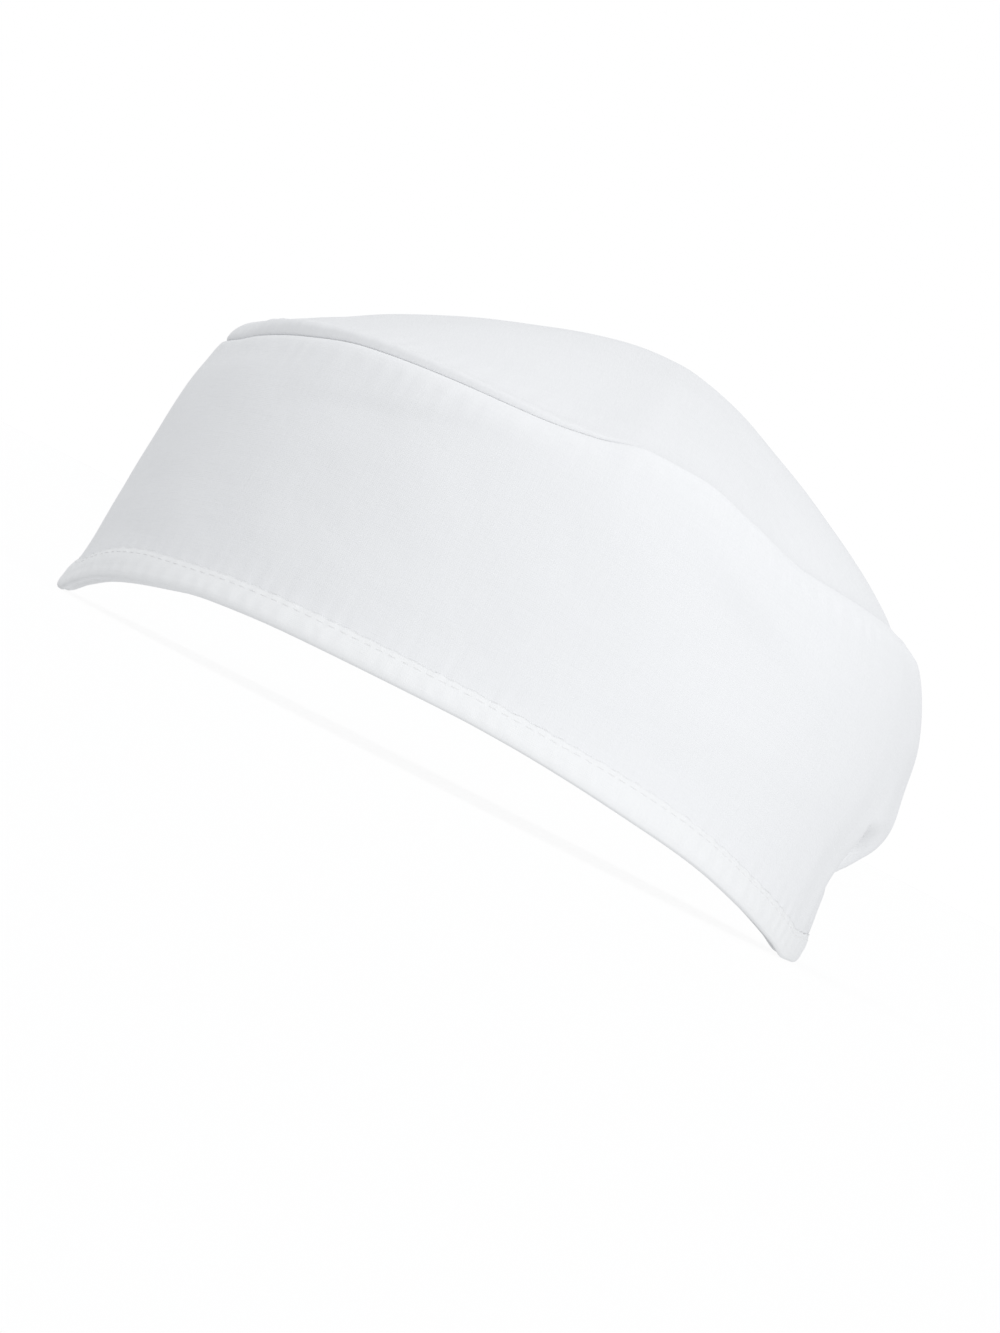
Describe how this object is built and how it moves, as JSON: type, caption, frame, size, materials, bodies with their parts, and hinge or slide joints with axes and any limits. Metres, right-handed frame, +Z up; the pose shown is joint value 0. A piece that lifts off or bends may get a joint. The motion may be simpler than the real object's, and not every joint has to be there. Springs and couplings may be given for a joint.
{
  "type": "chef beanie",
  "caption": "Soft white cotton chef's beanie: a low domed crown sewn into a deep side band that bellies out behind in a pouch over a narrow bound hem, open below for the head.",
  "frame": {"origin": "on the table, midway between the front of the rim and the back of the pouch, in the hat's plane of symmetry", "axes": "+Z up from the table; +Y towards the pouch at the back of the head, so the wearer faces -Y; X across the hat from ear to ear"},
  "size_m": [0.177, 0.2052, 0.1155],
  "materials": {
    "crown_cloth": "matte white fine cotton, one layer",
    "band_cloth": "matte white fine cotton, double and a little stiff",
    "binding_cloth": "matte white fine cotton, folded over the edge and top-stitched"
  },
  "bodies": {
    "root": {"crown": "crown_cloth", "band": "band_cloth", "hem_binding": "binding_cloth"}
  },
  "joints": []
}
